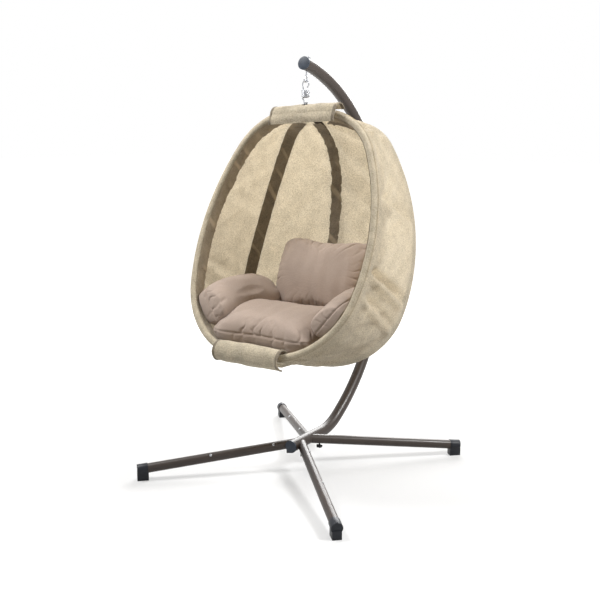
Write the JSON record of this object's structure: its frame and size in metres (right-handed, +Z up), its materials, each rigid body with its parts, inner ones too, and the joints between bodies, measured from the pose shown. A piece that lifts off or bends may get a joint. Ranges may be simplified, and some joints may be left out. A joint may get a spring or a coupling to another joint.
{
  "type": "hanging egg chair",
  "caption": "Hanging egg chair: ribbed mesh basket with seat, back and arm cushions, hung by a spring from a curved pole on a cross base.",
  "frame": {"origin": "on the floor, under the middle of the cross base", "axes": "+Z up, the chair faces -Y, +X to its right as seen from the front"},
  "size_m": [1.1436, 1.3756, 1.9477],
  "materials": {
    "cap_plastic": "satin",
    "cover_mesh": "woven",
    "cushion_cloth": "matte",
    "flap_cloth": "woven",
    "foot_plastic": "matte",
    "hub_alloy": "satin",
    "knob_plastic": "matte",
    "pole_steel": "gloss",
    "rib_steel": "satin",
    "ring_steel": "satin",
    "sleeve_cloth": "woven",
    "spring_steel": "polished",
    "zinc_hardware": "satin"
  },
  "bodies": {
    "stand": {"eye_bolt": "zinc_hardware", "eye_bolt_nut": "zinc_hardware", "foot_front_left": "foot_plastic", "foot_front_right": "foot_plastic", "foot_rear_left": "foot_plastic", "foot_rear_right": "foot_plastic", "leg_bolts": "zinc_hardware", "leg_front_left": "pole_steel", "leg_front_right": "pole_steel", "leg_rear_left": "pole_steel", "leg_rear_right": "pole_steel", "pole_front_cap": "cap_plastic", "pole_lower": "pole_steel", "pole_top_cap": "cap_plastic", "pole_upper": "pole_steel"},
    "spring": {"spring": "spring_steel"},
    "ring": {"hook_ring": "ring_steel"},
    "hanger": {"swivel_eye": "zinc_hardware", "swivel_nut": "zinc_hardware"},
    "chair": {"arm_cushion_left": "cushion_cloth", "arm_cushion_right": "cushion_cloth", "back_cushion": "cushion_cloth", "bottom_flap": "flap_cloth", "bottom_hub": "hub_alloy", "bottom_hub_bolts": "zinc_hardware", "cover_back_left": "cover_mesh", "cover_back_right": "cover_mesh", "cover_left": "cover_mesh", "cover_right": "cover_mesh", "rib_back": "rib_steel", "rib_corner_left": "rib_steel", "rib_corner_right": "rib_steel", "rib_rim_left": "rib_steel", "rib_rim_right": "rib_steel", "rib_sleeve_back": "sleeve_cloth", "rib_sleeve_left": "sleeve_cloth", "rib_sleeve_right": "sleeve_cloth", "rim_sleeve_left": "sleeve_cloth", "rim_sleeve_right": "sleeve_cloth", "seat_cushion": "cushion_cloth", "top_flap": "flap_cloth", "top_hub": "hub_alloy", "top_hub_bolts": "zinc_hardware"},
    "knob_front_left": {"leg_knob_front_left": "knob_plastic"},
    "knob_front_right": {"leg_knob_front_right": "knob_plastic"},
    "knob_rear_left": {"leg_knob_rear_left": "knob_plastic"},
    "knob_rear_right": {"leg_knob_rear_right": "knob_plastic"}
  },
  "joints": [
    {"name": "swing", "type": "hinge", "parent": "stand", "child": "spring", "pos_m": [0, 0.009, 1.8403], "axis": [1, 0, 0], "range_deg": [-12, 8]},
    {"name": "bounce", "type": "slide", "parent": "spring", "child": "ring", "axis": [0, 0, -1], "range_m": [0, 0.04], "stiffness_N_per_m": 15000, "springref_m": -0.022, "deforming": ["spring"]},
    {"name": "sway", "type": "hinge", "parent": "ring", "child": "hanger", "pos_m": [0, 0.009, 1.7191], "axis": [0, 1, 0], "range_deg": [-8, 8]},
    {"name": "swivel", "type": "hinge", "parent": "hanger", "child": "chair", "pos_m": [0, 0.009, 1.69], "axis": [0, 0, 1], "range_deg": [-35, 35]},
    {"name": "knob_turn_front_left", "type": "hinge", "parent": "stand", "child": "knob_front_left", "pos_m": [-0.04185, -0.07185, 0.10588], "axis": [-0.077, -0.077, 0.9941], "continuous": true},
    {"name": "knob_turn_front_right", "type": "hinge", "parent": "stand", "child": "knob_front_right", "pos_m": [0.04185, -0.07185, 0.10588], "axis": [0.077, -0.077, 0.9941], "continuous": true},
    {"name": "knob_turn_rear_left", "type": "hinge", "parent": "stand", "child": "knob_rear_left", "pos_m": [-0.04185, 0.07185, 0.10588], "axis": [-0.077, 0.077, 0.9941], "continuous": true},
    {"name": "knob_turn_rear_right", "type": "hinge", "parent": "stand", "child": "knob_rear_right", "pos_m": [0.04185, 0.07185, 0.10588], "axis": [0.077, 0.077, 0.9941], "continuous": true}
  ]
}
